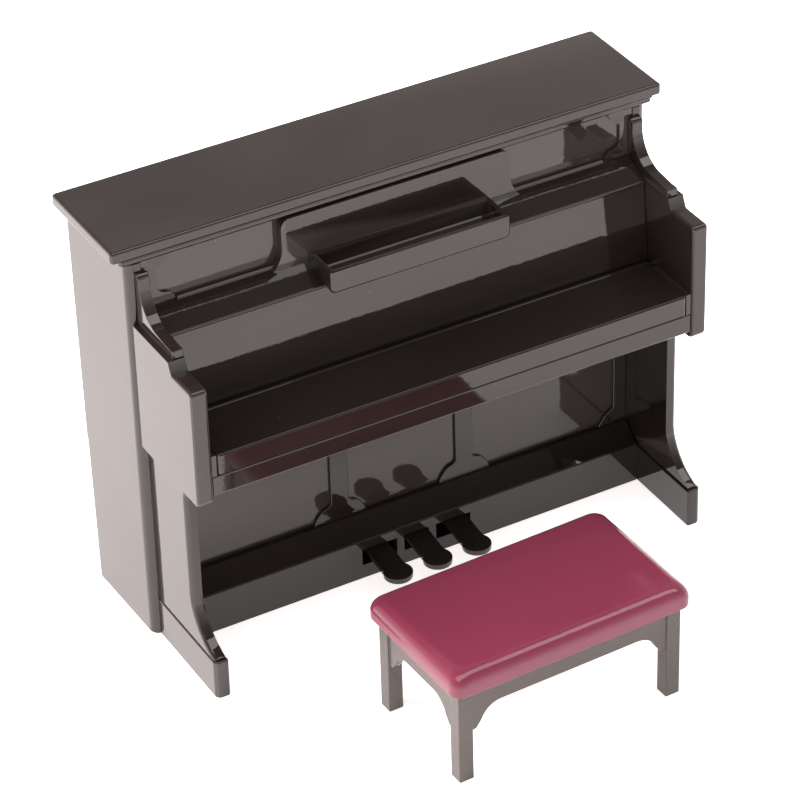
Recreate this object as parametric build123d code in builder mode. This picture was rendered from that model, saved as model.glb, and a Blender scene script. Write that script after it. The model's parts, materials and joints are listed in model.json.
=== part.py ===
"""Miniature upright piano with a loose bench, moulded in glossy plastic.

Millimetres.  +X is the player's right, +Y the back of the piano, +Z up.
The origin is on the floor under the middle of the piano, in the plane where
the front panels stand.
"""

import os
from math import cos, radians, sin, tan

from build123d import *

os.makedirs("parts", exist_ok=True)

# Overall size of the piano
WIDTH = 92.0
HEIGHT = 68.94
LID_BOARD_THICK = 1.8
LID_BOARD_BACK_Y = 19.84
BOARD_UNDER_Z = HEIGHT - LID_BOARD_THICK

# Case sides and the cheeks in front of them
SIDE_OUT_X = 43.6
SIDE_BACK_OUT_X = 43.9
SIDE_IN_X = 41.2
SIDE_FRONT_Y = 0.46
SIDE_EDGE_R = 1.5
SIDE_BACK_FOOT_Y = 18.4
SIDE_NOTCH_Y = 19.0
SIDE_NOTCH_Z = 25.4
SIDE_BACK_TOP_Y = 19.8
BACK_PANEL_Y = 17.4
CHEEK_IN_X = 40.5
ARM_OUT_X = 43.2
BRACKET_OUT_X = 42.35
ARM_FRONT_Y = -17.5
ARM_BOTTOM_Z = 34.4
ARM_TOP_Z = 54.2
ARM_SHOULDER_Y = -10.6
ARM_SHOULDER_Z = 55.8
BRACKET_TOP_Z = 64.5
BRACKET_FOOT_Z = 57.1
LEG_OUT_X = 42.3
LEG_EDGE_R = 0.7
LEG_FRONT_Y = -11.1
TOE_IN_X = 40.2
TOE_OUT_X = 42.5
TOE_FRONT_Y = -18.2
TOE_TOP_Z = 6.62

# Front panels
FRAME_Y = 0.6
PANEL_THICK = 1.4
FRAME_LEAN = 1.0
FIELD_LEAN = 0.5
FRAME_PROUD = 0.5
CORNICE_Z = 65.95
CORNICE_Y = 0.3
CORNICE_BACK_Y = 4.0
CORNICE_OUT_X = 44.6
CORNICE_END_Y = 19.2
PLATE_Y = -0.35
SHELF_BACK_Z = 58.1
SHELF_NOSE_Y = -4.6
SHELF_NOSE_Z = 55.7
FASCIA_TOP_Y = -4.05
FASCIA_FOOT_Y = -5.3
FASCIA_FOOT_Z = 43.3
SHELF_SKIN = 1.0
LIP_HALF = 36.0

# Music tray on the shelf
TRAY_FRONT_Y = -7.2
TRAY_HALF = 15.1
TRAY_BOTTOM_Z = 55.7
TRAY_TOP_Z = 59.35
TRAY_WALL = 0.8

# Key bed, keys and the hinged key lid
BED_BOTTOM_Z = 35.7
BED_TOP_Z = 38.2
SLIP_FRONT_Y = -17.3
SLIP_TOP_Z = 39.0
KEY_BACK_Y = -5.9
KEY_FRONT_Y = -16.0
KEY_TOP_Z = 39.9
BLACK_TOP_Z = 40.8
WHITE_COUNT = 52
LID_HALF = 39.6
KEY_BLOCK_IN_X = 39.75
KEY_BLOCK_FRONT_Y = -17.2
KEY_BLOCK_TOP_Z = 42.5
KEY_BLOCK_BACK_Y = -7.6
LID_FRONT_Y = -17.5
LID_TOP_Z = 42.6
LID_THICK = 1.0
LID_LIP_Z = 39.25
LID_LIP_THICK = 0.9
HINGE_Y = -6.3
HINGE_Z = 41.85
HINGE_BARREL_R = 0.85
PIN_R = 0.6
RUNNING_GAP = 0.05
PIN_REACH = 1.1

# Plinth and pedals
PLINTH_FRONT_Y = -3.35
PLINTH_TOP_Z = 7.0
PLINTH_LEDGE_Y = 0.2
PLINTH_BACK_Z = 9.5
PLINTH_THICK = 1.2
WINDOW_LOW_Z = 2.45
WINDOW_HIGH_Z = 5.3
WINDOW_MIDDLE_HALF = 2.2
WINDOW_POST = 1.25
WINDOW_OUT_X = 9.6
PEDAL_PITCH = 6.95
PEDAL_HALF = 1.95
PEDAL_TIP_R = 2.3
PEDAL_TIP_Y = -12.1
PEDAL_TIP_TOP_Z = 4.5
PEDAL_TIP_LOW_Z = 3.6
PEDAL_AXLE_Y = 2.4
PEDAL_AXLE_Z = 4.4
PEDAL_AXLE_R = 0.6
PEDAL_EYE_R = 1.25
FLOOR_BOARD_THICK = 1.4

# Bench
BENCH_X = -2.83
BENCH_Y = -41.8
BENCH_YAW = 2.0
SEAT_RIM_Z = 16.3
SEAT_WALL = 1.35
SEAT_EDGE_R = 2.2
SEAT_LENGTH = 40.8
SEAT_DEPTH = 24.5
SEAT_CORNER_R = 1.9
BENCH_LEG = 2.4
BENCH_LENGTH = 38.2
BENCH_DEPTH = 21.7
APRON_THICK = 1.2
APRON_ARCH_Z = 12.2
APRON_CUSP_Z = 8.4

XZ = Plane.XZ
SIDES = {"left": -1, "right": 1}


def write(part, label):
    part.label = label
    export_step(part, f"parts/{label}.step")


def cheek_plane(side, x):
    """A YZ sketch plane at x on the given side whose normal points outwards."""
    return Plane(origin=(side * x, 0, 0), x_dir=(0, side, 0), z_dir=(side, 0, 0))


# ---------------------------------------------------------------- case ----
side_panels = {}

for name, side in SIDES.items():
    with BuildPart() as side_panel:
        with BuildSketch(cheek_plane(side, SIDE_IN_X)):
            with BuildLine():
                Polyline(
                    (side * SIDE_FRONT_Y, 0),
                    (side * SIDE_BACK_FOOT_Y, 0),
                    (side * SIDE_NOTCH_Y, SIDE_NOTCH_Z),
                    (side * (SIDE_NOTCH_Y + 0.25), SIDE_NOTCH_Z + 0.6),
                    (side * SIDE_BACK_TOP_Y, BOARD_UNDER_Z),
                    (side * SIDE_FRONT_Y, BOARD_UNDER_Z),
                    close=True,
                )
            make_face()
        extrude(amount=SIDE_BACK_OUT_X - SIDE_IN_X)
        # The outer face spreads a little towards the back.
        with BuildSketch(Plane.XY):
            with BuildLine():
                Polyline(
                    (side * SIDE_OUT_X, SIDE_FRONT_Y),
                    (side * SIDE_BACK_OUT_X, SIDE_BACK_TOP_Y),
                    (side * WIDTH, SIDE_BACK_TOP_Y),
                    (side * WIDTH, SIDE_FRONT_Y - 1),
                    (side * SIDE_OUT_X, SIDE_FRONT_Y - 1),
                    close=True,
                )
            make_face()
        extrude(amount=HEIGHT, mode=Mode.SUBTRACT)
        upright = side_panel.edges().filter_by(Axis.Z).group_by(Axis.Y)[0]
        fillet(upright.sort_by(Axis.X)[-1 if side > 0 else 0], SIDE_EDGE_R)
        with Locations((side * SIDE_OUT_X, SIDE_FRONT_Y, BOARD_UNDER_Z)):
            Box(
                3 * (SIDE_OUT_X - SIDE_IN_X),
                2 * (CORNICE_BACK_Y - SIDE_FRONT_Y),
                2 * (BOARD_UNDER_Z - CORNICE_Z),
                mode=Mode.SUBTRACT,
            )
    write(side_panel.part, f"{name}_side_panel")
    side_panels[name] = side_panel.part

with BuildPart() as back_panel:
    with Locations((0, BACK_PANEL_Y, 0)):
        Box(
            2 * SIDE_IN_X,
            PANEL_THICK,
            BOARD_UNDER_Z,
            align=(Align.CENTER, Align.MAX, Align.MIN),
        )
write(back_panel.part, "back_panel")

with BuildPart() as bottom_board:
    front_y = FRAME_Y - 2.0
    with Locations((0, front_y, 0)):
        Box(
            2 * SIDE_IN_X,
            BACK_PANEL_Y - PANEL_THICK - front_y,
            FLOOR_BOARD_THICK,
            align=(Align.CENTER, Align.MIN, Align.MIN),
        )
    # The cheeks stand in front of the case sides, so the board steps in there.
    for side in SIDES.values():
        with Locations((side * SIDE_IN_X, front_y, 0)):
            Box(2 * (SIDE_IN_X - TOE_IN_X), 2 * (SIDE_FRONT_Y - front_y), 4, mode=Mode.SUBTRACT)
write(bottom_board.part, "bottom_board")

with BuildPart() as top_board:
    with BuildSketch(Plane.XY.offset(BOARD_UNDER_Z)):
        with Locations((0, LID_BOARD_BACK_Y / 2)):
            RectangleRounded(WIDTH, LID_BOARD_BACK_Y, 0.6)
    extrude(amount=LID_BOARD_THICK)
    fillet(top_board.faces().sort_by(Axis.Z)[-1].edges(), 0.5)
    fillet(top_board.faces().sort_by(Axis.Z)[0].edges(), 0.2)
write(top_board.part, "top_board")

with BuildPart() as cornice_moulding:
    # The moulding runs across the front under the board and back along both sides.
    for low_z, proud in ((CORNICE_Z, 0.0), (BOARD_UNDER_Z - 0.3, 0.2)):
        front_y = CORNICE_Y - proud
        half = CORNICE_OUT_X + proud
        with BuildSketch(Plane.XY.offset(low_z)) as band:
            with Locations((0, (front_y + CORNICE_END_Y) / 2)):
                Rectangle(2 * half, CORNICE_END_Y - front_y)
            fillet(band.vertices().group_by(Axis.Y)[0], 0.7)
        extrude(amount=BOARD_UNDER_Z - low_z)
        if proud == 0:
            under = cornice_moulding.faces().sort_by(Axis.Z)[0].edges()
            fillet([edge for edge in under if edge.center().Y < CORNICE_END_Y - 0.1], 0.35)
    with Locations((0, CORNICE_BACK_Y, CORNICE_Z)):
        Box(
            2 * SIDE_OUT_X,
            CORNICE_END_Y,
            4,
            align=(Align.CENTER, Align.MIN, Align.CENTER),
            mode=Mode.SUBTRACT,
        )
    for panel in side_panels.values():
        add(panel, mode=Mode.SUBTRACT)
write(cornice_moulding.part, "cornice_moulding")

# -------------------------------------------------------------- cheeks ----
for name, side in SIDES.items():
    with BuildPart() as arm:
        with BuildSketch(cheek_plane(side, CHEEK_IN_X)):
            with BuildLine():
                Polyline(
                    (side * SIDE_FRONT_Y, ARM_BOTTOM_Z),
                    (side * ARM_FRONT_Y, ARM_BOTTOM_Z),
                    (side * ARM_FRONT_Y, ARM_TOP_Z),
                    (side * (ARM_SHOULDER_Y - 0.7), ARM_TOP_Z),
                    (side * (ARM_SHOULDER_Y - 0.3), ARM_SHOULDER_Z - 0.9),
                    (side * ARM_SHOULDER_Y, ARM_SHOULDER_Z),
                    (side * SIDE_FRONT_Y, ARM_SHOULDER_Z),
                    close=True,
                )
            make_face()
        extrude(amount=ARM_OUT_X - CHEEK_IN_X)
        tip_edges = arm.edges().filter_by(Axis.X).group_by(Axis.Y)[0].sort_by(Axis.Z)
        fillet(tip_edges[-1], 0.7)
        fillet(arm.edges().filter_by(Axis.X).group_by(Axis.Y)[0].sort_by(Axis.Z)[0], 1.1)
        long_edges = arm.faces().sort_by(Axis.Y)[0].edges().filter_by(Axis.Z)
        fillet(long_edges, 0.5)
        pin_plane = cheek_plane(side, CHEEK_IN_X)
        with BuildSketch(pin_plane):
            with Locations((side * HINGE_Y, HINGE_Z)):
                Circle(PIN_R + RUNNING_GAP)
        extrude(amount=PIN_REACH + 0.4, mode=Mode.SUBTRACT)
    write(arm.part, f"{name}_arm")

    with BuildPart() as bracket:
        with BuildSketch(cheek_plane(side, CHEEK_IN_X)):
            with BuildLine():
                Polyline(
                    (side * -8.9, BRACKET_FOOT_Z),
                    (side * -10.35, BRACKET_FOOT_Z),
                    (side * -10.35, ARM_SHOULDER_Z),
                    (side * SIDE_FRONT_Y, ARM_SHOULDER_Z),
                    (side * SIDE_FRONT_Y, BRACKET_TOP_Z),
                )
                crown = ThreePointArc(
                    (side * SIDE_FRONT_Y, BRACKET_TOP_Z),
                    (side * -0.25, BRACKET_TOP_Z - 0.25),
                    (side * -0.6, BRACKET_TOP_Z - 0.9),
                )
                sweep_in = ThreePointArc(
                    crown @ 1,
                    (side * -1.75, 59.5),
                    (side * -5.2, BRACKET_FOOT_Z + 0.35),
                )
                Line(sweep_in @ 1, (side * -8.9, BRACKET_FOOT_Z))
            make_face()
        extrude(amount=BRACKET_OUT_X - CHEEK_IN_X)
    write(bracket.part, f"{name}_bracket")

    with BuildPart() as leg:
        with BuildSketch(cheek_plane(side, CHEEK_IN_X)):
            with BuildLine():
                shank = Line((side * LEG_FRONT_Y, 16.5), (side * LEG_FRONT_Y, ARM_BOTTOM_Z - 3.2))
                ThreePointArc(
                    shank @ 1,
                    (side * (LEG_FRONT_Y - 0.45), ARM_BOTTOM_Z - 1.1),
                    (side * (LEG_FRONT_Y - 1.8), ARM_BOTTOM_Z),
                )
                Polyline(
                    (side * (LEG_FRONT_Y - 1.8), ARM_BOTTOM_Z),
                    (side * SIDE_FRONT_Y, ARM_BOTTOM_Z),
                    (side * SIDE_FRONT_Y, TOE_TOP_Z),
                    (side * (TOE_FRONT_Y + 0.6), TOE_TOP_Z),
                    (side * (TOE_FRONT_Y + 0.6), TOE_TOP_Z + 0.35),
                )
                # The leg sweeps forward in a hollow curve onto the toe block.
                Spline(
                    (side * (TOE_FRONT_Y + 0.6), TOE_TOP_Z + 0.35),
                    (side * -15.6, 7.8),
                    (side * -13.0, 9.9),
                    (side * -11.45, 12.6),
                    shank @ 0,
                    tangents=((side * 2.0, 0.7), (0, 1)),
                )
            make_face()
        extrude(amount=LEG_OUT_X - CHEEK_IN_X)
        outer_face = leg.faces().sort_by(Axis.X)[-1 if side > 0 else 0]
        front_edges = [
            edge
            for edge in outer_face.edges()
            if edge.center().Y < LEG_FRONT_Y + 0.2
            and edge.length > 1.9
            and TOE_TOP_Z + 0.6 < edge.center().Z < ARM_BOTTOM_Z - 0.1
        ]
        fillet(front_edges, LEG_EDGE_R)
    write(leg.part, f"{name}_leg")

    with BuildPart() as toe_block:
        with BuildSketch(Plane.XY) as plan:
            middle_x = side * (TOE_IN_X + TOE_OUT_X) / 2
            middle_y = (TOE_FRONT_Y + SIDE_FRONT_Y) / 2
            with Locations((middle_x, middle_y)):
                Rectangle(TOE_OUT_X - TOE_IN_X, SIDE_FRONT_Y - TOE_FRONT_Y)
            fillet(plan.vertices().group_by(Axis.Y)[0].sort_by(Axis.X)[-1 if side > 0 else 0], 0.9)
            inner = plan.vertices().filter_by_position(Axis.X, side * TOE_IN_X - 0.01, side * TOE_IN_X + 0.01)
            fillet(inner.sort_by(Axis.Y)[0], 0.4)
        extrude(amount=TOE_TOP_Z)
        fillet(toe_block.edges().filter_by(Axis.X).group_by(Axis.Y)[0].sort_by(Axis.Z)[-1], 0.3)
    write(toe_block.part, f"{name}_toe_block")

# ------------------------------------------------- upper panel, shelf ----
def leaning_plane(y, z, lean):
    """A front plane through (y, z) that leans back; sketches on it use X and height."""
    return Plane(
        origin=(0, y, z),
        x_dir=(1, 0, 0),
        z_dir=(0, -cos(radians(lean)), sin(radians(lean))),
    )


PANEL_FOOT_Z = SHELF_BACK_Z - 0.9
FIELD_Y = FRAME_Y + FRAME_PROUD
FIELD_RISE = CORNICE_Z - PANEL_FOOT_Z
FIELD_SETBACK = FIELD_RISE * tan(radians(FIELD_LEAN))

with BuildPart() as upper_panel:
    with BuildSketch(Plane.YZ.offset(-SIDE_IN_X)):
        with BuildLine():
            Polyline(
                (FIELD_Y, PANEL_FOOT_Z),
                (FIELD_Y + FIELD_SETBACK, CORNICE_Z),
                (FIELD_Y + FIELD_SETBACK + PANEL_THICK, CORNICE_Z),
                (FIELD_Y + PANEL_THICK, PANEL_FOOT_Z),
                close=True,
            )
        make_face()
    extrude(amount=2 * SIDE_IN_X)
write(upper_panel.part, "upper_panel")


def end_field_edge(side):
    """Outer end of an upper field: a shouldered S-curve, heights above the shelf."""
    start = Line((side * 36.1, -2.0), (side * 36.2, -0.1))
    cusp = ThreePointArc(start @ 1, (side * 36.6, 1.1), (side * 37.6, 1.5))
    hollow = ThreePointArc(cusp @ 1, (side * 38.6, 2.0), (side * 39.0, 3.1))
    upright = Line(hollow @ 1, (side * 39.0, 5.5))
    shoulder = ThreePointArc(upright @ 1, (side * 37.7, 6.4), (side * 36.8, 8.0))
    Line(shoulder @ 1, (side * 36.6, 9.5))


with BuildPart() as upper_frame:
    rise = (CORNICE_Z - SHELF_BACK_Z) / cos(radians(FRAME_LEAN))
    with BuildSketch(leaning_plane(FRAME_Y, SHELF_BACK_Z, FRAME_LEAN)):
        with BuildLine():
            Polyline(
                (-SIDE_IN_X, -0.9),
                (-SIDE_IN_X, rise),
                (SIDE_IN_X, rise),
                (SIDE_IN_X, -0.9),
                close=True,
            )
        make_face()
        with BuildLine():
            end_field_edge(-1)
            end_field_edge(1)
            Line((-36.6, 9.5), (36.6, 9.5))
            Line((-36.1, -2.0), (36.1, -2.0))
        make_face(mode=Mode.SUBTRACT)
    extrude(amount=-2.0)
    add(upper_panel.part, mode=Mode.SUBTRACT)
    with Locations((0, 0, CORNICE_Z)):
        Box(2 * WIDTH, 20, 10, align=(Align.CENTER, Align.CENTER, Align.MIN), mode=Mode.SUBTRACT)
    with Locations((0, 0, PANEL_FOOT_Z)):
        Box(2 * WIDTH, 20, 10, align=(Align.CENTER, Align.CENTER, Align.MAX), mode=Mode.SUBTRACT)
    # Only what stands in front of the leaning field is kept.
    with Locations((0, FIELD_Y + FIELD_SETBACK, CORNICE_Z / 2)):
        Box(2 * WIDTH, 20, CORNICE_Z, align=(Align.CENTER, Align.MIN, Align.CENTER), mode=Mode.SUBTRACT)
write(upper_frame.part, "upper_frame")

with BuildPart() as music_shelf:
    # One folded moulding: the sloping shelf, its nose and the board above the keys.
    with BuildSketch(Plane.YZ.offset(-CHEEK_IN_X)):
        with BuildLine():
            nose = ThreePointArc(
                (SHELF_NOSE_Y + 0.15, SHELF_NOSE_Z + 0.3),
                (SHELF_NOSE_Y, SHELF_NOSE_Z),
                (SHELF_NOSE_Y + 0.3, SHELF_NOSE_Z - 0.35),
            )
            Polyline(
                nose @ 1,
                (FASCIA_TOP_Y, SHELF_NOSE_Z - 0.4),
                (FASCIA_FOOT_Y, FASCIA_FOOT_Z),
                (FASCIA_FOOT_Y, BED_TOP_Z),
                (FASCIA_FOOT_Y + SHELF_SKIN, BED_TOP_Z),
                (FASCIA_FOOT_Y + SHELF_SKIN, FASCIA_FOOT_Z),
                (FASCIA_TOP_Y + SHELF_SKIN, SHELF_NOSE_Z - 0.7),
                (SIDE_FRONT_Y, PANEL_FOOT_Z - 0.9),
                (FIELD_Y + PANEL_THICK, PANEL_FOOT_Z - 0.9),
                (FIELD_Y + PANEL_THICK, PANEL_FOOT_Z),
                (FRAME_Y - 0.15, PANEL_FOOT_Z),
                (FRAME_Y - 0.15, SHELF_BACK_Z),
                nose @ 0,
            )
        make_face()
    extrude(amount=2 * CHEEK_IN_X)
    # A narrow lip along the foot of the sunk field.
    with Locations((0, FIELD_Y, SHELF_BACK_Z - 0.5)):
        Box(
            2 * LIP_HALF,
            FIELD_Y - FRAME_Y + 0.15,
            0.85,
            align=(Align.CENTER, Align.MAX, Align.MIN),
        )
    add(upper_panel.part, mode=Mode.SUBTRACT)
    add(upper_frame.part, mode=Mode.SUBTRACT)
write(music_shelf.part, "music_shelf")

with BuildPart() as centre_plate:
    with BuildSketch(leaning_plane(PLATE_Y, SHELF_BACK_Z, FRAME_LEAN)):
        with BuildLine():
            foot = Polyline((0, -1.6), (21.2, -1.6), (21.1, -0.6))
            flare = ThreePointArc(foot @ 1, (19.85, 0.95), (19.2, 2.6))
            edge = Line(flare @ 1, (19.2, 6.35))
            corner = ThreePointArc(edge @ 1, (18.75, 7.4), (17.7, 7.8))
            Line(corner @ 1, (0, 7.8))
            mirror(about=Plane.YZ)
        make_face()
    extrude(amount=-3.0)
    add(upper_panel.part, mode=Mode.SUBTRACT)
    add(music_shelf.part, mode=Mode.SUBTRACT)
    # Only what stands in front of the leaning field is kept.
    front = centre_plate.solids().sort_by(Axis.Y)[0]
    add(front, mode=Mode.REPLACE)
write(centre_plate.part, "centre_plate")

with BuildPart() as music_tray:
    tray_depth = PLATE_Y + 1.5 - TRAY_FRONT_Y
    with BuildSketch(XZ.offset(-TRAY_FRONT_Y)):
        with Locations((0, (TRAY_TOP_Z + TRAY_BOTTOM_Z) / 2)):
            Rectangle(2 * TRAY_HALF, TRAY_TOP_Z - TRAY_BOTTOM_Z)
    extrude(amount=-tray_depth)
    fillet(music_tray.edges().filter_by(Axis.Y).group_by(Axis.Z)[0], 0.9)
    fillet(music_tray.edges().filter_by(Axis.Z).group_by(Axis.Y)[0], 0.35)
    # The trough that holds the sheet music.
    with Locations((0, TRAY_FRONT_Y + TRAY_WALL, TRAY_BOTTOM_Z + TRAY_WALL)):
        Box(
            2 * (TRAY_HALF - TRAY_WALL),
            PLATE_Y - 1.4 - TRAY_FRONT_Y - TRAY_WALL,
            10,
            align=(Align.CENTER, Align.MIN, Align.MIN),
            mode=Mode.SUBTRACT,
        )
    add(music_shelf.part, mode=Mode.SUBTRACT)
    add(centre_plate.part, mode=Mode.SUBTRACT)
    add(upper_panel.part, mode=Mode.SUBTRACT)
    add(music_tray.solids().sort_by(Axis.Y)[0], mode=Mode.REPLACE)
write(music_tray.part, "music_tray")

# ---------------------------------------------------- key bed and keys ----
with BuildPart() as key_bed:
    with BuildSketch(Plane.YZ.offset(-CHEEK_IN_X)):
        with BuildLine():
            Polyline(
                (SLIP_FRONT_Y + 0.9, BED_BOTTOM_Z),
                (SLIP_FRONT_Y + 0.9, BED_TOP_Z),
                (SIDE_FRONT_Y, BED_TOP_Z),
                (SIDE_FRONT_Y, BED_BOTTOM_Z),
                close=True,
            )
        make_face()
    extrude(amount=2 * CHEEK_IN_X)
write(key_bed.part, "key_bed")

with BuildPart() as key_slip:
    with BuildSketch(Plane.YZ.offset(-CHEEK_IN_X)):
        with BuildLine():
            Polyline(
                (SLIP_FRONT_Y + 0.9, BED_BOTTOM_Z - 0.1),
                (SLIP_FRONT_Y + 0.25, BED_BOTTOM_Z - 0.1),
                (SLIP_FRONT_Y, BED_BOTTOM_Z + 0.15),
                (SLIP_FRONT_Y, SLIP_TOP_Z - 0.2),
                (SLIP_FRONT_Y + 0.2, SLIP_TOP_Z),
                (SLIP_FRONT_Y + 0.9, SLIP_TOP_Z),
                close=True,
            )
        make_face()
    extrude(amount=2 * CHEEK_IN_X)
write(key_slip.part, "key_slip")

for name, side in SIDES.items():
    with BuildPart() as key_block:
        # A plain block between the end of the lid and the cheek.
        with BuildSketch(cheek_plane(side, KEY_BLOCK_IN_X)):
            with BuildLine():
                Polyline(
                    (side * KEY_BLOCK_BACK_Y, BED_TOP_Z),
                    (side * (SLIP_FRONT_Y + 0.9), BED_TOP_Z),
                    (side * (SLIP_FRONT_Y + 0.9), SLIP_TOP_Z),
                    (side * KEY_BLOCK_FRONT_Y, SLIP_TOP_Z),
                    (side * KEY_BLOCK_FRONT_Y, KEY_BLOCK_TOP_Z),
                    (side * KEY_BLOCK_BACK_Y, KEY_BLOCK_TOP_Z),
                    close=True,
                )
            make_face()
        extrude(amount=CHEEK_IN_X - KEY_BLOCK_IN_X)
    write(key_block.part, f"{name}_key_block")

KEY_PITCH = 2 * (LID_HALF - 0.4) / WHITE_COUNT

with BuildPart() as white_keys:
    with Locations((0, KEY_FRONT_Y, BED_TOP_Z)):
        Box(
            WHITE_COUNT * KEY_PITCH,
            KEY_BACK_Y - KEY_FRONT_Y,
            KEY_TOP_Z - BED_TOP_Z,
            align=(Align.CENTER, Align.MIN, Align.MIN),
        )
    # Shallow moulded lines between the keys.
    with Locations((0, KEY_FRONT_Y, KEY_TOP_Z)):
        with GridLocations(KEY_PITCH, 0, WHITE_COUNT - 1, 1):
            Box(0.14, 2 * (KEY_BACK_Y - KEY_FRONT_Y), 0.3, mode=Mode.SUBTRACT)
write(white_keys.part, "white_keys")


def black_key_places():
    """X of every black key of an 88-key keyboard, which starts on an A."""
    places = []
    for index in range(WHITE_COUNT - 1):
        octave_step = (index + 5) % 7
        if octave_step not in (2, 6):
            places.append((index + 1 - WHITE_COUNT / 2) * KEY_PITCH)
    return places


BLACK_LENGTH = 5.0
with BuildPart() as black_keys:
    # The black keys are one moulded strip: a thin rail behind joins them.
    for x in black_key_places():
        with Locations((x, KEY_BACK_Y - 1.3, KEY_TOP_Z)):
            Box(0.8, BLACK_LENGTH, BLACK_TOP_Z - KEY_TOP_Z, align=(Align.CENTER, Align.MAX, Align.MIN))
    with Locations((0, KEY_BACK_Y - 1.3, KEY_TOP_Z)):
        Box(
            WHITE_COUNT * KEY_PITCH,
            0.5,
            0.4,
            align=(Align.CENTER, Align.CENTER, Align.MIN),
        )
write(black_keys.part, "black_keys")

with BuildPart() as key_lid:
    with BuildSketch(Plane.YZ.offset(-LID_HALF)):
        with BuildLine():
            Polyline(
                (HINGE_Y, LID_TOP_Z),
                (LID_FRONT_Y + 0.25, LID_TOP_Z),
                (LID_FRONT_Y, LID_TOP_Z - 0.25),
                (LID_FRONT_Y, LID_LIP_Z),
                (LID_FRONT_Y + LID_LIP_THICK, LID_LIP_Z),
                (LID_FRONT_Y + LID_LIP_THICK, LID_TOP_Z - LID_THICK),
                (HINGE_Y, LID_TOP_Z - LID_THICK),
                close=True,
            )
        make_face()
        with Locations((HINGE_Y, HINGE_Z)):
            Circle(HINGE_BARREL_R)
    extrude(amount=2 * LID_HALF)
    fillet(key_lid.faces().sort_by(Axis.Y)[0].edges().filter_by(Axis.Z), 0.5)
    for side in SIDES.values():
        with BuildSketch(cheek_plane(side, LID_HALF)):
            with Locations((side * HINGE_Y, HINGE_Z)):
                Circle(PIN_R)
        extrude(amount=CHEEK_IN_X - LID_HALF + PIN_REACH)
write(key_lid.part, "key_lid")

# --------------------------------------------------------- lower panel ----
LOWER_TOP_Z = BED_BOTTOM_Z
LOWER_FOOT_Z = PLINTH_BACK_Z - 1.2

with BuildPart() as lower_panel:
    with Locations((0, FIELD_Y, LOWER_FOOT_Z)):
        Box(
            2 * SIDE_IN_X,
            PANEL_THICK,
            PANEL_FOOT_Z - 0.9 - LOWER_FOOT_Z,
            align=(Align.CENTER, Align.MIN, Align.MIN),
        )
write(lower_panel.part, "lower_panel")


FIELD_TOP_Z = 33.4
DIVIDER_IN_X = 9.45
DIVIDER_OUT_X = 12.5
FOOT_SPREAD = 3.05
END_FIELD_X = 38.25
END_FOOT_X = 35.5


def divider_foot(edge_x, step):
    """Foot of a field beside a divider: a small step in, then a bulging quarter round."""
    notch = Polyline(
        (edge_x, 14.5),
        (edge_x, 12.65),
        (edge_x + step * 0.5, 12.2),
        (edge_x + step * 1.3, 12.0),
    )
    ThreePointArc(notch @ 1, (edge_x + step * 2.4, 10.85), (edge_x + step * FOOT_SPREAD, PLINTH_BACK_Z))


def end_foot(side):
    """Foot of a field beside a case side: one bulging curve."""
    edge = Line((side * END_FIELD_X, 14.5), (side * END_FIELD_X, 12.3))
    ThreePointArc(edge @ 1, (side * 36.6, 11.1), (side * END_FOOT_X, PLINTH_BACK_Z))


def field_outline(left_x, left_foot_x, right_x, right_foot_x):
    """The rest of a sunk field: its foot line, straight sides and clipped upper corners."""
    low = LOWER_FOOT_Z - 0.5
    Polyline(
        (left_foot_x, PLINTH_BACK_Z),
        (left_foot_x, low),
        (right_foot_x, low),
        (right_foot_x, PLINTH_BACK_Z),
    )
    Polyline(
        (left_x, 14.5),
        (left_x, FIELD_TOP_Z - 1.5),
        (left_x + 1.5, FIELD_TOP_Z),
        (right_x - 1.5, FIELD_TOP_Z),
        (right_x, FIELD_TOP_Z - 1.5),
        (right_x, 14.5),
    )


with BuildPart() as lower_frame:
    with BuildSketch(XZ.offset(-FRAME_Y)):
        with Locations((0, (LOWER_TOP_Z + LOWER_FOOT_Z) / 2)):
            Rectangle(2 * SIDE_IN_X, LOWER_TOP_Z - LOWER_FOOT_Z)
        with BuildLine():
            end_foot(-1)
            divider_foot(-DIVIDER_OUT_X, -1)
            field_outline(-END_FIELD_X, -END_FOOT_X, -DIVIDER_OUT_X, -DIVIDER_OUT_X - FOOT_SPREAD)
        make_face(mode=Mode.SUBTRACT)
        with BuildLine():
            divider_foot(-DIVIDER_IN_X, 1)
            divider_foot(DIVIDER_IN_X, -1)
            field_outline(-DIVIDER_IN_X, FOOT_SPREAD - DIVIDER_IN_X, DIVIDER_IN_X, DIVIDER_IN_X - FOOT_SPREAD)
        make_face(mode=Mode.SUBTRACT)
        with BuildLine():
            divider_foot(DIVIDER_OUT_X, 1)
            end_foot(1)
            field_outline(DIVIDER_OUT_X, DIVIDER_OUT_X + FOOT_SPREAD, END_FIELD_X, END_FOOT_X)
        make_face(mode=Mode.SUBTRACT)
    extrude(amount=-FRAME_PROUD)
write(lower_frame.part, "lower_frame")

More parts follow.
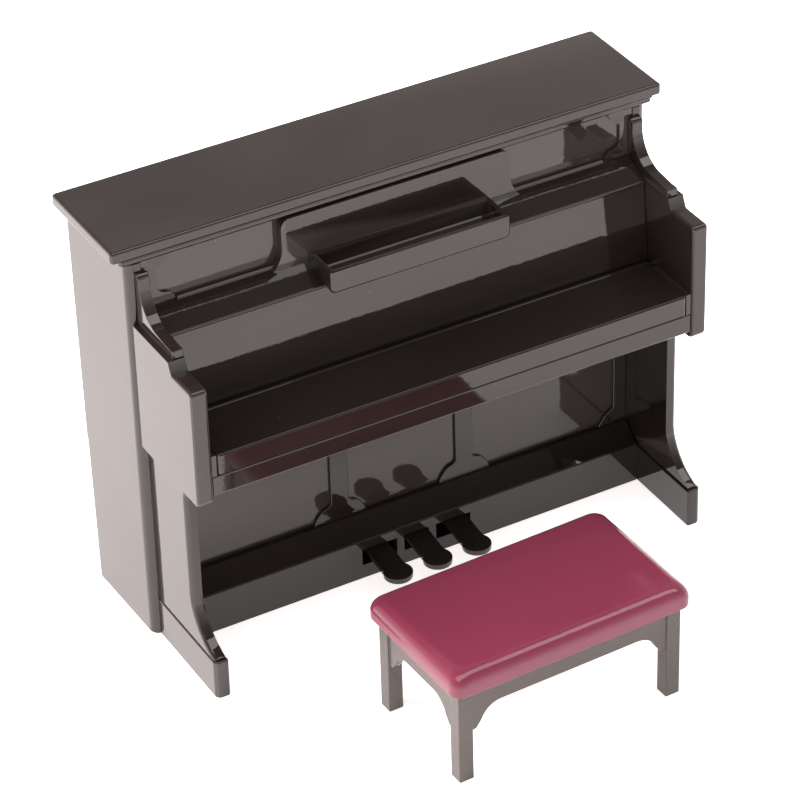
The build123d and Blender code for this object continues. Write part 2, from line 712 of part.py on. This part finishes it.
with BuildPart() as bottom_rail:
    # The plinth: an upright front with three pedal windows and a sloping top.
    with BuildSketch(Plane.YZ.offset(-TOE_IN_X)):
        with BuildLine():
            Polyline(
                (PLINTH_FRONT_Y, 0),
                (PLINTH_FRONT_Y, PLINTH_TOP_Z - 0.2),
                (PLINTH_FRONT_Y + 0.2, PLINTH_TOP_Z),
                (PLINTH_LEDGE_Y, PLINTH_BACK_Z - 0.1),
                (FRAME_Y, PLINTH_BACK_Z),
                (FRAME_Y, LOWER_FOOT_Z),
                (PLINTH_FRONT_Y + PLINTH_THICK, PLINTH_TOP_Z - 1.0),
                (PLINTH_FRONT_Y + PLINTH_THICK, 0),
                close=True,
            )
        make_face()
    extrude(amount=2 * TOE_IN_X)
    window_height = WINDOW_HIGH_Z - WINDOW_LOW_Z
    side_window = WINDOW_OUT_X - WINDOW_MIDDLE_HALF - WINDOW_POST
    side_window_x = WINDOW_OUT_X - side_window / 2
    windows = {
        -side_window_x: side_window,
        0: 2 * WINDOW_MIDDLE_HALF,
        side_window_x: side_window,
    }
    on_foot = (Align.CENTER, Align.CENTER, Align.MIN)
    for x, width in windows.items():
        with Locations((x, PLINTH_FRONT_Y, WINDOW_LOW_Z)):
            Box(width, 4 * PLINTH_THICK, window_height, align=on_foot, mode=Mode.SUBTRACT)
write(bottom_rail.part, "bottom_rail")

# -------------------------------------------------------------- pedals ----
PEDALS = {"left": -PEDAL_PITCH, "middle": 0.0, "right": PEDAL_PITCH}

for name, x in PEDALS.items():
    with BuildPart() as pedal:
        with BuildSketch(Plane.YZ.offset(x - PEDAL_HALF)):
            with BuildLine():
                Polyline(
                    (PEDAL_AXLE_Y, PEDAL_AXLE_Z + 0.75),
                    (PLINTH_FRONT_Y, WINDOW_HIGH_Z - 0.15),
                    (PEDAL_TIP_Y + 2 * PEDAL_TIP_R, PEDAL_TIP_TOP_Z),
                    (PEDAL_TIP_Y + PEDAL_TIP_R, PEDAL_TIP_TOP_Z),
                    (PEDAL_TIP_Y + PEDAL_TIP_R, PEDAL_TIP_LOW_Z),
                    (PLINTH_FRONT_Y, PEDAL_TIP_LOW_Z + 0.75),
                    (PEDAL_AXLE_Y, PEDAL_AXLE_Z - 0.75),
                    close=True,
                )
            make_face()
            with Locations((PEDAL_AXLE_Y, PEDAL_AXLE_Z)):
                Circle(PEDAL_EYE_R)
        extrude(amount=2 * PEDAL_HALF)
        with BuildSketch(Plane.XY.offset(PEDAL_TIP_LOW_Z)):
            with Locations((x, PEDAL_TIP_Y + PEDAL_TIP_R)):
                Circle(PEDAL_TIP_R)
        extrude(amount=PEDAL_TIP_TOP_Z - PEDAL_TIP_LOW_Z)
        with BuildSketch(Plane.YZ.offset(x - PEDAL_HALF)):
            with Locations((PEDAL_AXLE_Y, PEDAL_AXLE_Z)):
                Circle(PEDAL_AXLE_R + RUNNING_GAP)
        extrude(amount=2 * PEDAL_HALF, mode=Mode.SUBTRACT)
    write(pedal.part, f"pedal_{name}")

with BuildPart() as pedal_bar:
    # A round bar that the pedals turn on, on short posts between them.
    post_x = PEDAL_PITCH / 2
    bar_end = PEDAL_PITCH + PEDAL_HALF + 1.6
    with BuildSketch(Plane.YZ.offset(-bar_end)):
        with Locations((PEDAL_AXLE_Y, PEDAL_AXLE_Z)):
            Circle(PEDAL_AXLE_R)
    extrude(amount=2 * bar_end)
    for x in (-bar_end + 0.6, -post_x, post_x, bar_end - 0.6):
        with Locations((x, PEDAL_AXLE_Y, FLOOR_BOARD_THICK)):
            Box(
                1.2,
                1.8,
                PEDAL_AXLE_Z + PEDAL_AXLE_R - FLOOR_BOARD_THICK,
                align=(Align.CENTER, Align.CENTER, Align.MIN),
            )
write(pedal_bar.part, "pedal_bar")

# --------------------------------------------------------------- bench ----
BENCH = Plane(origin=(BENCH_X, BENCH_Y, 0), z_dir=(0, 0, 1)).rotated((0, 0, BENCH_YAW))


def bench_side(length, leg_gap):
    """Outline of an apron between two legs: an arch with a small cusp at each leg."""
    half = length / 2 - leg_gap
    Polyline((0, SEAT_RIM_Z), (half, SEAT_RIM_Z), (half, APRON_CUSP_Z), (half - 0.9, APRON_CUSP_Z + 0.25))
    cusp = ThreePointArc(
        (half - 0.9, APRON_CUSP_Z + 0.25),
        (half - 1.35, APRON_CUSP_Z + 0.9),
        (half - 1.8, APRON_CUSP_Z + 1.5),
    )
    arch = ThreePointArc(cusp @ 1, (half - 2.9, APRON_ARCH_Z - 0.75), (half - 5.0, APRON_ARCH_Z))
    Line(arch @ 1, (0, APRON_ARCH_Z))
    mirror(about=Plane.YZ)


with BuildPart() as bench_frame:
    leg_x = (BENCH_LENGTH - BENCH_LEG) / 2
    leg_y = (BENCH_DEPTH - BENCH_LEG) / 2
    with BuildSketch(BENCH):
        with GridLocations(2 * leg_x, 2 * leg_y, 2, 2):
            Rectangle(BENCH_LEG, BENCH_LEG)
    extrude(amount=SEAT_RIM_Z)
    # Two long aprons and two short ones, set just inside the legs' outer faces.
    for sign in (-1, 1):
        long_side = Plane(
            origin=BENCH.from_local_coords((0, sign * (BENCH_DEPTH / 2 - 0.3), 0)),
            x_dir=BENCH.x_dir * -sign,
            z_dir=BENCH.y_dir * sign,
        )
        with BuildSketch(long_side):
            with BuildLine():
                bench_side(BENCH_LENGTH, BENCH_LEG - 0.1)
            make_face()
        extrude(amount=-APRON_THICK)
        short_side = Plane(
            origin=BENCH.from_local_coords((sign * (BENCH_LENGTH / 2 - 0.3), 0, 0)),
            x_dir=BENCH.y_dir * sign,
            z_dir=BENCH.x_dir * sign,
        )
        with BuildSketch(short_side):
            with BuildLine():
                bench_side(BENCH_DEPTH, BENCH_LEG - 0.1)
            make_face()
        extrude(amount=-APRON_THICK)
write(bench_frame.part, "bench_frame")

with BuildPart() as bench_seat:
    with BuildSketch(BENCH.offset(SEAT_RIM_Z)):
        RectangleRounded(SEAT_LENGTH, SEAT_DEPTH, SEAT_CORNER_R)
    extrude(amount=SEAT_WALL)
    fillet(bench_seat.faces().sort_by(Axis.Z)[0].edges(), 0.3)
    # A broad round edge all the way round, like a cushion.
    for step in range(7):
        turn = radians(15 * step)
        inset = SEAT_EDGE_R * (1 - cos(turn))
        with BuildSketch(BENCH.offset(SEAT_RIM_Z + SEAT_WALL + SEAT_EDGE_R * sin(turn))):
            RectangleRounded(SEAT_LENGTH - 2 * inset, SEAT_DEPTH - 2 * inset, SEAT_CORNER_R)
    loft()
write(bench_seat.part, "bench_seat")
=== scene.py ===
"""Looks for the miniature upright piano and its bench: moulded plastic, studio light, camera."""

import json
from math import cos, radians, sin

import bmesh
import bpy
from mathutils import Matrix, Vector


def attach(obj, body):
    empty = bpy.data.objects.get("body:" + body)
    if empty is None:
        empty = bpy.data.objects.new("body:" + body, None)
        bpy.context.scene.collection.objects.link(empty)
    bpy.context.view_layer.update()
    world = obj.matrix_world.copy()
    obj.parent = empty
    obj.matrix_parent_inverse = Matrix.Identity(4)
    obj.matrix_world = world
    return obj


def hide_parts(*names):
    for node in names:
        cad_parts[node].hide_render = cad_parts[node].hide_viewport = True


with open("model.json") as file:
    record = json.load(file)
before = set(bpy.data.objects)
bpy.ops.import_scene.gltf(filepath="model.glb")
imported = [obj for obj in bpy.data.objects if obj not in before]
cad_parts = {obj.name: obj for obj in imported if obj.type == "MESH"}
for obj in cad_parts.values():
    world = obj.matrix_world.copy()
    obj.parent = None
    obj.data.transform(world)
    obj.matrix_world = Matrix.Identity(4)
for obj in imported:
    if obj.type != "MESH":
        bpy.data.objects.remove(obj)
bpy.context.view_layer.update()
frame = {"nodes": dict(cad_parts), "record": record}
bodies = frame["record"]["behaviour"]["bodies"]
body_of_node = {node: body for body, nodes in bodies.items() for node in nodes}
slot_of_node = {s["node"]: s["material_slot"] for s in frame["record"]["subparts"]}
MM = 0.001


# ------------------------------------------------------------ materials ----
class Nodes:
    """A small helper that adds and links shader nodes in one material."""

    def __init__(self, name):
        self.material = bpy.data.materials.new(name)
        self.material.use_nodes = True
        self.tree = self.material.node_tree
        self.shader = self.tree.nodes["Principled BSDF"]
        self.place = self.add("ShaderNodeTexCoord").outputs["Object"]

    def feed(self, socket, value):
        """Link a socket to another one, or set it to a plain value."""
        if isinstance(value, bpy.types.NodeSocket):
            self.tree.links.new(value, socket)
        else:
            socket.default_value = value

    def add(self, kind, inputs=None, **settings):
        node = self.tree.nodes.new(kind)
        for key, value in settings.items():
            setattr(node, key, value)
        for key, value in (inputs or {}).items():
            self.feed(node.inputs[key], value)
        return node

    def scaled(self, scale, turn=(0, 0, 0)):
        values = {"Vector": self.place, "Scale": scale, "Rotation": turn}
        return self.add("ShaderNodeMapping", values).outputs["Vector"]

    def noise(self, vector, scale, detail=2.0, roughness=0.5, distortion=0.0):
        values = {
            "Vector": vector,
            "Scale": scale,
            "Detail": detail,
            "Roughness": roughness,
            "Distortion": distortion,
        }
        return self.add("ShaderNodeTexNoise", values).outputs["Fac"]

    def ramp(self, factor, low, high):
        node = self.add("ShaderNodeValToRGB", {"Fac": factor})
        for element, colour in zip(node.color_ramp.elements, (low, high)):
            element.color = (*colour, 1.0)
        return node.outputs["Color"]

    def span(self, factor, low, high, to_low, to_high):
        values = {
            "Value": factor,
            "From Min": low,
            "From Max": high,
            "To Min": to_low,
            "To Max": to_high,
        }
        return self.add("ShaderNodeMapRange", values).outputs["Result"]

    def math(self, operation, a, b):
        node = self.add("ShaderNodeMath", operation=operation)
        for socket, value in zip(node.inputs, (a, b)):
            self.feed(socket, value)
        return node.outputs["Value"]

    def mix(self, factor, a, b):
        node = self.add("ShaderNodeMix", data_type="RGBA")
        for index, value in ((0, factor), (6, a), (7, b)):
            self.feed(node.inputs[index], value)
        return node.outputs[2]

    def bump(self, height, strength, distance, normal=None):
        values = {"Height": height, "Strength": strength, "Distance": distance}
        if normal is not None:
            values["Normal"] = normal
        return self.add("ShaderNodeBump", values).outputs["Normal"]

    def send(self, output, name):
        self.tree.links.new(output, self.shader.inputs[name])


DUST_COLOUR = (0.30, 0.27, 0.26, 1.0)
DUST_SCALE = 900.0
DUST_REACH = 0.05
DUST_RARITY = 0.72
DUST_ROUGHNESS = 0.4
# Painted edge highlight: where edges begin and end being painted paler, and how much paler they
# get.
EDGE_HIGHLIGHT_STARTS = 0.64
EDGE_HIGHLIGHT_FULL = 0.72
EDGE_HIGHLIGHT_GAIN = 2.2
EDGE_HIGHLIGHT_LIFT = 0.02
SCRATCH_ROUGHNESS = 0.05
SCRATCH_DEPTH = 0.00002
RIPPLE_DEPTH = 0.0025
PEEL_DEPTH = 0.00006


def moulded_plastic(name, deep, light, rough, ripple, peel, dust, edge_highlight, ior):
    """Injection-moulded plastic: flow marks, faint ripples, fine scratches, dust, and a painted
    highlight on the sharp edges.
    """
    n = Nodes(name)
    flow = n.noise(n.scaled((18, 18, 55)), 1.0, 4.0, 0.55, 1.6)
    tone = n.ramp(n.span(flow, 0.3, 0.7, 0, 1), deep, light)
    # The sharpest edges are painted a little paler than the flats: a painted highlight standing
    # in for the glint along their rounding.
    highlight_mask = n.add("ShaderNodeNewGeometry").outputs["Pointiness"]
    highlight_mask = n.span(highlight_mask, EDGE_HIGHLIGHT_STARTS, EDGE_HIGHLIGHT_FULL, 0, edge_highlight)
    highlight_tone = [min(1.0, c * EDGE_HIGHLIGHT_GAIN + EDGE_HIGHLIGHT_LIFT) for c in light]
    tone = n.mix(highlight_mask, tone, (*highlight_tone, 1.0))
    # Dust is a sparse scatter of pale points.
    specks = n.add(
        "ShaderNodeTexVoronoi", {"Vector": n.place, "Scale": DUST_SCALE}, feature="F1"
    )
    near = n.math("LESS_THAN", specks.outputs["Distance"], DUST_REACH)
    rare = n.math("GREATER_THAN", n.noise(n.place, 260.0, 1.0), DUST_RARITY)
    speck = n.math("MULTIPLY", n.math("MULTIPLY", near, rare), dust)
    n.send(n.mix(speck, tone, DUST_COLOUR), "Base Color")
    # Hairline scratches run mostly across the piece and don't change its colour.
    hair = n.noise(n.scaled((120, 2600, 2600), (0.0, 0.12, 0.2)), 1.0, 2.0, 0.6)
    cross = n.noise(n.scaled((2600, 160, 1900), (0.1, 0.0, -0.35)), 1.0, 2.0, 0.6)
    scratch = n.math("MULTIPLY", n.span(hair, 0.63, 0.72, 0, 1), 0.7)
    scratch = n.math("ADD", scratch, n.math("MULTIPLY", n.span(cross, 0.66, 0.74, 0, 1), 0.5))
    smudge = n.noise(n.place, 70.0, 4.0, 0.6, 0.8)
    gloss = n.span(smudge, 0.3, 0.75, *rough)
    gloss = n.math("ADD", gloss, n.math("MULTIPLY", scratch, SCRATCH_ROUGHNESS))
    gloss = n.math("ADD", gloss, n.math("MULTIPLY", speck, DUST_ROUGHNESS))
    n.send(gloss, "Roughness")
    # Slow sink ripples lie under a very fine orange peel.
    slow = n.noise(n.scaled((38, 38, 52)), 1.0, 1.0, 0.4, 0.7)
    fine = n.noise(n.place, 1500.0, 2.0, 0.5)
    normal = n.bump(slow, ripple, RIPPLE_DEPTH)
    normal = n.bump(fine, peel, PEEL_DEPTH, normal)
    normal = n.bump(scratch, 0.05, SCRATCH_DEPTH, normal)
    n.send(normal, "Normal")
    n.shader.inputs["IOR"].default_value = ior
    return n.material


# The edge setting in each look is the strength of its painted edge highlight.
LOOKS = {
    "case_plastic": moulded_plastic(
        "case_plastic_gloss",
        deep=(0.0115, 0.0083, 0.0074),
        light=(0.0175, 0.0128, 0.0114),
        rough=(0.02, 0.055),
        ripple=0.035,
        peel=0.06,
        dust=0.8,
        edge_highlight=0.5,
        ior=1.52,
    ),
    "seat_plastic": moulded_plastic(
        "seat_plastic_gloss",
        deep=(0.158, 0.0255, 0.050),
        light=(0.184, 0.0320, 0.060),
        rough=(0.05, 0.09),
        ripple=0.03,
        peel=0.05,
        dust=0.35,
        edge_highlight=0.15,
        ior=1.48,
    ),
    "bench_plastic": moulded_plastic(
        "bench_plastic_satin",
        deep=(0.052, 0.040, 0.036),
        light=(0.066, 0.052, 0.047),
        rough=(0.22, 0.30),
        ripple=0.05,
        peel=0.14,
        dust=0.25,
        edge_highlight=0.3,
        ior=1.5,
    ),
    "key_white": moulded_plastic(
        "key_white_satin",
        deep=(0.60, 0.56, 0.47),
        light=(0.70, 0.66, 0.58),
        rough=(0.22, 0.30),
        ripple=0.04,
        peel=0.2,
        dust=0.2,
        edge_highlight=0.1,
        ior=1.5,
    ),
    "key_black": moulded_plastic(
        "key_black_satin",
        deep=(0.012, 0.011, 0.011),
        light=(0.018, 0.016, 0.016),
        rough=(0.2, 0.3),
        ripple=0.04,
        peel=0.25,
        dust=0.5,
        edge_highlight=0.4,
        ior=1.5,
    ),
}

# --------------------------------------------------------------- pieces ----
WELD_DISTANCE = 2e-6
FLAT_ANGLE = radians(0.6)
SHARP_ANGLE = radians(34)
BEVEL_SEGMENTS = 3

# How far each piece's outside edges are softened, in millimetres.
ROUNDING = {
    "left_side_panel": 0.22,
    "right_side_panel": 0.22,
    "cornice_moulding": 0.12,
    "left_arm": 0.45,
    "right_arm": 0.45,
    "left_bracket": 0.2,
    "right_bracket": 0.2,
    "left_leg": 0.2,
    "right_leg": 0.2,
    "left_toe_block": 0.22,
    "right_toe_block": 0.22,
    "upper_frame": 0.14,
    "centre_plate": 0.16,
    "music_shelf": 0.25,
    "music_tray": 0.25,
    "key_slip": 0.14,
    "key_lid": 0.32,
    "lower_frame": 0.14,
    "pedal_left": 0.3,
    "pedal_middle": 0.3,
    "pedal_right": 0.3,
    "bench_frame": 0.3,
    "bench_seat": 0.2,
}


def clean_copy(node, name):
    """A new mesh like the node's, with its flat faces joined up again, ready for rounding."""
    bm = bmesh.new()
    bm.from_mesh(frame["nodes"][node].data)
    bmesh.ops.remove_doubles(bm, verts=bm.verts, dist=WELD_DISTANCE)
    bmesh.ops.dissolve_limit(
        bm,
        angle_limit=FLAT_ANGLE,
        use_dissolve_boundaries=False,
        verts=bm.verts,
        edges=bm.edges,
        delimit={"NORMAL"},
    )
    mesh = bpy.data.meshes.new(name)
    bm.to_mesh(mesh)
    bm.free()
    return mesh


def rounded(node, width):
    """A moulded piece that stands for a CAD node, with its outside edges softened."""
    name = f"{node}_moulded"
    mesh = clean_copy(node, name)
    piece = bpy.data.objects.new(name, mesh)
    bpy.context.scene.collection.objects.link(piece)
    bevel = piece.modifiers.new("soft_edges", "BEVEL")
    bevel.width = width * MM
    bevel.segments = BEVEL_SEGMENTS
    bevel.limit_method = "ANGLE"
    bevel.angle_limit = SHARP_ANGLE
    bevel.use_clamp_overlap = True
    bevel.miter_outer = "MITER_ARC"
    even = piece.modifiers.new("even_shading", "WEIGHTED_NORMAL")
    even.mode = "FACE_AREA"
    even.weight = 100
    even.keep_sharp = True
    mesh.materials.append(LOOKS[slot_of_node[node]])
    for polygon in mesh.polygons:
        polygon.use_smooth = True
    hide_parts(node)
    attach(piece, body_of_node[node])


for node, width in ROUNDING.items():
    rounded(node, width)
for node, obj in frame["nodes"].items():
    if node not in ROUNDING:
        obj.data.materials.clear()
        obj.data.materials.append(LOOKS[slot_of_node[node]])

# -------------------------------------------------------- floor and light ----
FLOOR_HALF = 2.5

floor_mesh = bpy.data.meshes.new("floor")
bm = bmesh.new()
bmesh.ops.create_grid(bm, x_segments=1, y_segments=1, size=FLOOR_HALF)
bm.to_mesh(floor_mesh)
bm.free()
floor = bpy.data.objects.new("floor", floor_mesh)
bpy.context.scene.collection.objects.link(floor)
paper = Nodes("floor_white")
paper.shader.inputs["Base Color"].default_value = (0.88, 0.87, 0.86, 1.0)
paper.shader.inputs["Roughness"].default_value = 0.9
paper.shader.inputs["Specular IOR Level"].default_value = 0.0
paper.shader.inputs["Emission Color"].default_value = (1.0, 0.955, 0.95, 1.0)
paper.shader.inputs["Emission Strength"].default_value = 0.8
floor_mesh.materials.append(paper.material)

SOFT_WHITE = (1.0, 0.98, 0.96)
WARM_WHITE = (1.0, 0.9, 0.885)


def softbox(name, place, aim, size, power, colour=SOFT_WHITE):
    data = bpy.data.lights.new(name, "AREA")
    data.shape = "RECTANGLE"
    data.size, data.size_y = size
    data.energy = power
    data.color = colour
    lamp = bpy.data.objects.new(name, data)
    bpy.context.scene.collection.objects.link(lamp)
    lamp.location = place
    lamp.rotation_euler = (Vector(aim) - Vector(place)).to_track_quat("-Z", "Y").to_euler()
    return lamp


# Two boxes side by side hang above the bench, a little in front of the piano.
BOX_Y = -0.105
BOX_Z = 0.50
BOX_DEEP = 0.24
OVERHEAD = (
    ("overhead_left", -0.0475, 0.505, 1.35),
    ("overhead_right", 0.3275, 0.241, 0.65),
)
for name, x, wide, power in OVERHEAD:
    softbox(name, (x, BOX_Y, BOX_Z), (x, BOX_Y, 0.0), (wide, BOX_DEEP), power)
# A big soft light behind and to the left whitens the floor and isn't mirrored in the gloss.
wash = softbox("back_left", (-0.75, 0.85, 0.75), (-0.2, 0.25, 0.0), (1.6, 1.2), 58.0, WARM_WHITE)
wash.visible_glossy = False

# The room is bright near the floor and dark overhead: height of the direction, then colour.
ROOM_STRENGTH = 2.0
ROOM = (
    (0.0, (1.0, 0.98, 0.97)),
    (0.30, (0.60, 0.565, 0.55)),
    (0.54, (0.27, 0.247, 0.238)),
    (1.0, (0.05, 0.0475, 0.045)),
)
world = bpy.data.worlds.new("studio")
bpy.context.scene.world = world
world.use_nodes = True
tree = world.node_tree
direction = tree.nodes.new("ShaderNodeTexCoord").outputs["Generated"]
split = tree.nodes.new("ShaderNodeSeparateXYZ")
tree.links.new(direction, split.inputs[0])
fade = tree.nodes.new("ShaderNodeValToRGB")
tree.links.new(split.outputs["Z"], fade.inputs["Fac"])
stops = fade.color_ramp.elements
for height, _ in ROOM[1:-1]:
    stops.new(height)
for stop, (height, colour) in zip(stops, ROOM):
    stop.position = height
    stop.color = (*colour, 1.0)
background = tree.nodes["Background"]
tree.links.new(fade.outputs["Color"], background.inputs["Color"])
background.inputs["Strength"].default_value = ROOM_STRENGTH

# --------------------------------------------------------------- camera ----
AZIMUTH = radians(-28.593)
ELEVATION = radians(34.311)
ROLL = radians(-1.734)
CAMERA_PLACE = (-0.22648, -0.41480, 0.35034)
LENS = 169.97
SENSOR_WIDTH = 36.0

back = Vector((sin(AZIMUTH) * cos(ELEVATION), -cos(AZIMUTH) * cos(ELEVATION), sin(ELEVATION)))
level = Vector((cos(AZIMUTH), sin(AZIMUTH), 0.0))
rise = back.cross(level)
right = level * cos(ROLL) + rise * sin(ROLL)
up = rise * cos(ROLL) - level * sin(ROLL)
turn = Matrix((right, up, back)).transposed().to_4x4()
camera_data = bpy.data.cameras.new("camera")
camera_data.lens = LENS
camera_data.sensor_width = SENSOR_WIDTH
camera_data.clip_start = 0.01
camera = bpy.data.objects.new("camera", camera_data)
bpy.context.scene.collection.objects.link(camera)
camera.matrix_world = Matrix.Translation(CAMERA_PLACE) @ turn
bpy.context.scene.camera = camera
bpy.context.scene.view_settings.view_transform = "Standard"
